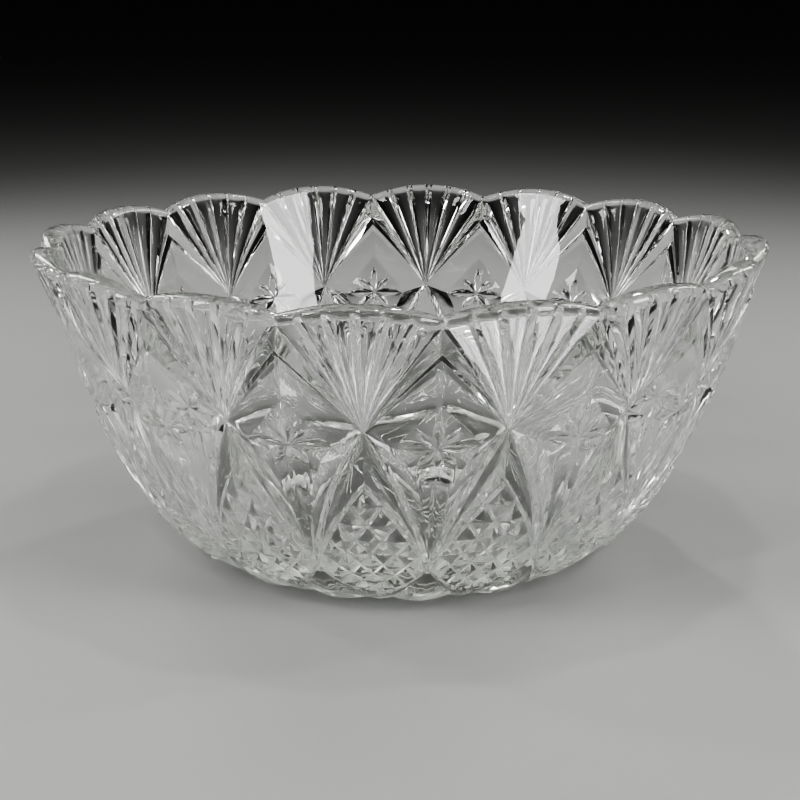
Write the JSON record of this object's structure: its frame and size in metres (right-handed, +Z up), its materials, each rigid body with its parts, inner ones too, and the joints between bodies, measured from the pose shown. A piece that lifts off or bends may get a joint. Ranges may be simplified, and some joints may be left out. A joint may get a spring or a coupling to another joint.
{
  "type": "punch bowl",
  "caption": "Clear pressed-glass punch bowl with a scalloped rim, cut fans, star panels, pointed diamond arches and a flat base, for serving drinks.",
  "frame": {"origin": "centre of the flat base that the bowl stands on", "axes": "+Z up along the bowl's axis, towards the open mouth; the middle of one rim lobe lies on -Y"},
  "size_m": [0.304, 0.304, 0.132],
  "materials": {
    "clear_glass": "polished, colourless with a faint grey-green tint"
  },
  "bodies": {
    "root": {"bowl": "clear_glass"}
  },
  "joints": []
}
